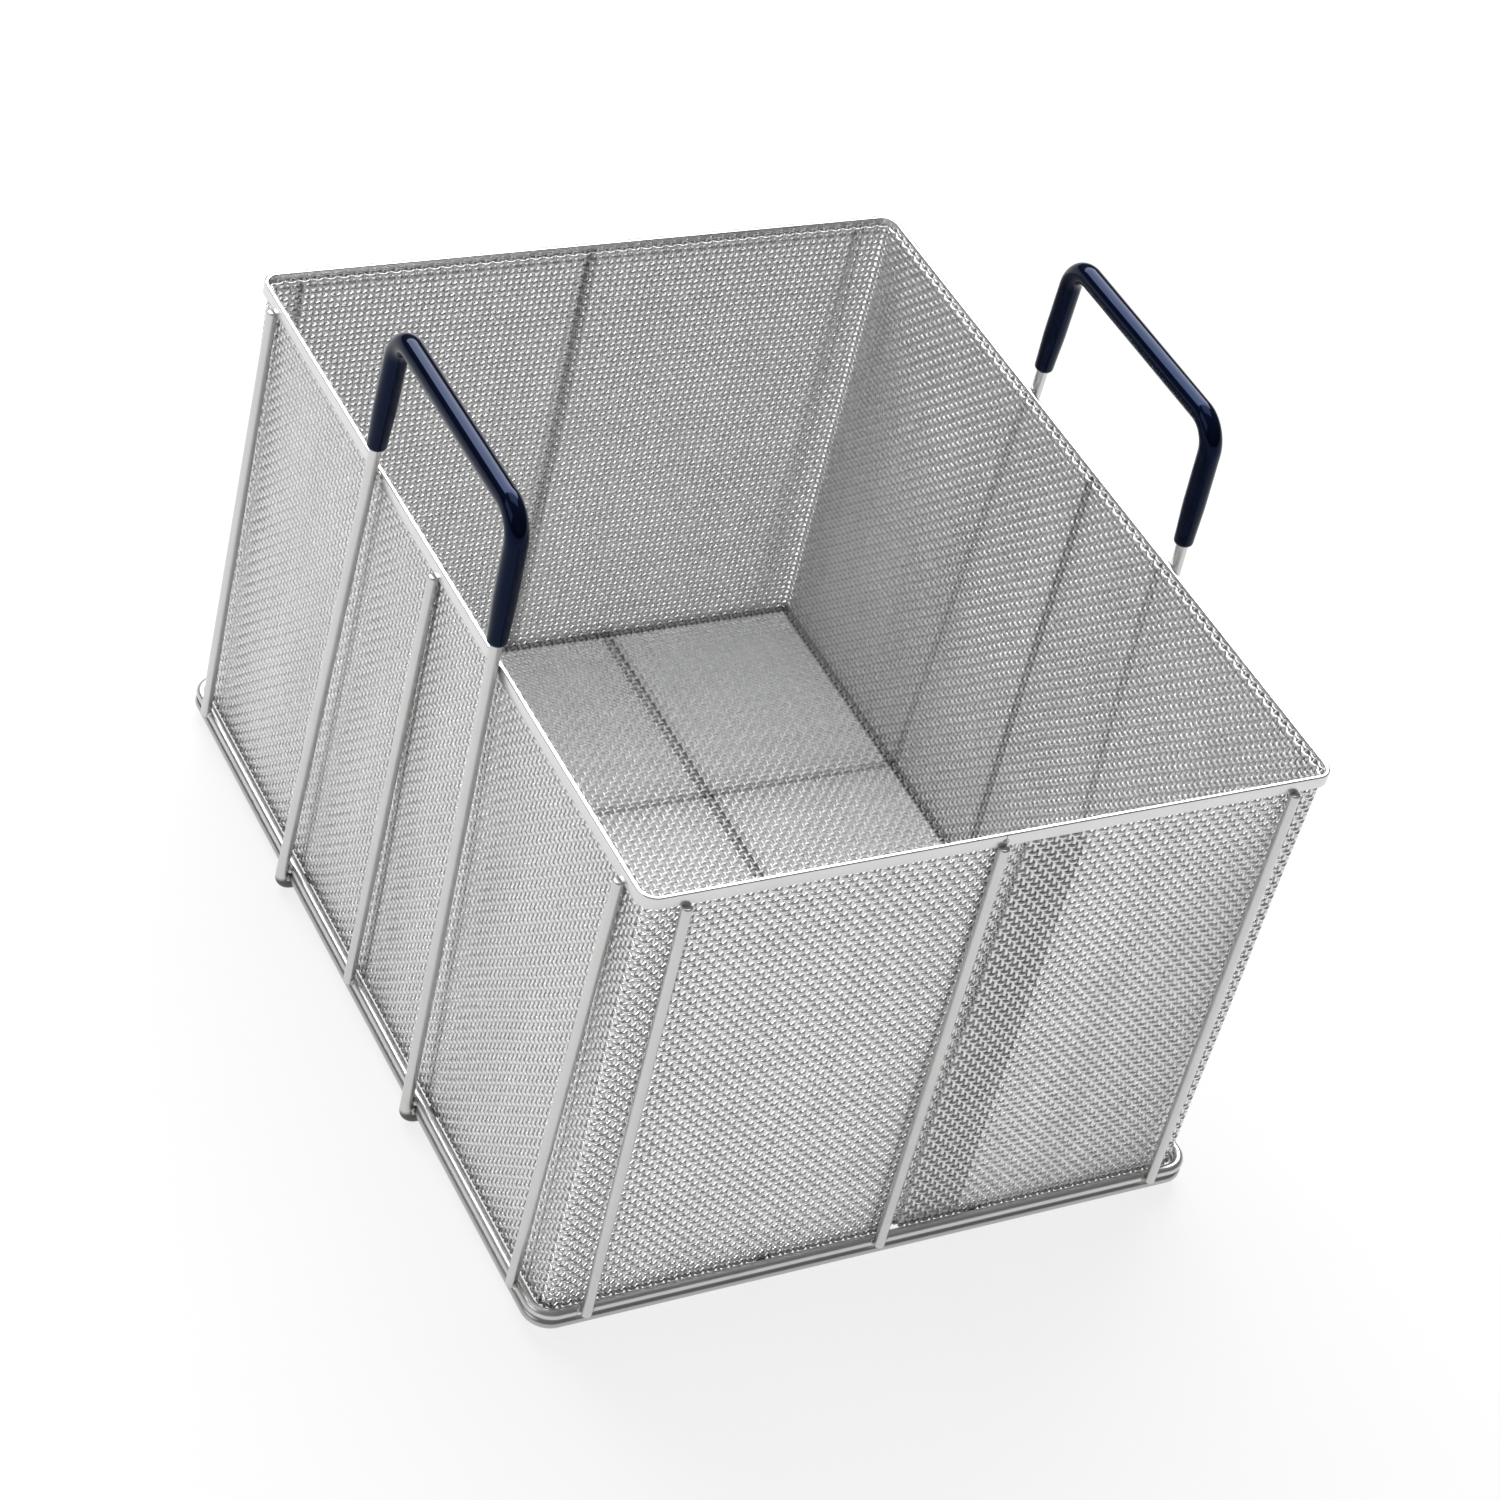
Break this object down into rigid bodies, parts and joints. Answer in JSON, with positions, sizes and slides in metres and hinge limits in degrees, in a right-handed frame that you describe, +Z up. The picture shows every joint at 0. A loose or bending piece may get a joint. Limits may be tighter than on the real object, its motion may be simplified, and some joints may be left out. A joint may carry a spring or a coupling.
{
  "type": "pasta cooking basket",
  "caption": "Rectangular woven wire mesh basket in a welded steel wire frame, with upright wire handles in dipped plastic grips, for boiling pasta.",
  "frame": {"origin": "middle of the basket's footprint, on the surface it stands on", "axes": "+Z up, +X across the basket from handle to handle, +Y along its longer side towards the rear"},
  "size_m": [0.3298, 0.4084, 0.3169],
  "materials": {
    "frame_steel": "drawn round wire, satin",
    "rim_steel": "flat strip, bright",
    "mesh_steel": "plain woven wire mesh",
    "grip_plastic": "dipped, glossy navy"
  },
  "bodies": {
    "root": {"base_ring_lower": "frame_steel", "base_ring_upper": "frame_steel", "floor_bar_left": "frame_steel", "floor_bar_right": "frame_steel", "handle_left": "frame_steel", "handle_right": "frame_steel", "upright_front_left": "frame_steel", "upright_front_middle": "frame_steel", "upright_front_right": "frame_steel", "upright_rear_left": "frame_steel", "upright_rear_middle": "frame_steel", "upright_rear_right": "frame_steel", "upright_left_front": "frame_steel", "upright_left_middle": "frame_steel", "upright_left_rear": "frame_steel", "upright_right_front": "frame_steel", "upright_right_middle": "frame_steel", "upright_right_rear": "frame_steel", "rim_channel": "rim_steel", "rim_weld_left_front": "rim_steel", "rim_weld_left_rear": "rim_steel", "rim_weld_right_front": "rim_steel", "rim_weld_right_rear": "rim_steel", "wall_mesh": "mesh_steel", "floor_mesh": "mesh_steel", "grip_left": "grip_plastic", "grip_right": "grip_plastic"}
  },
  "joints": []
}
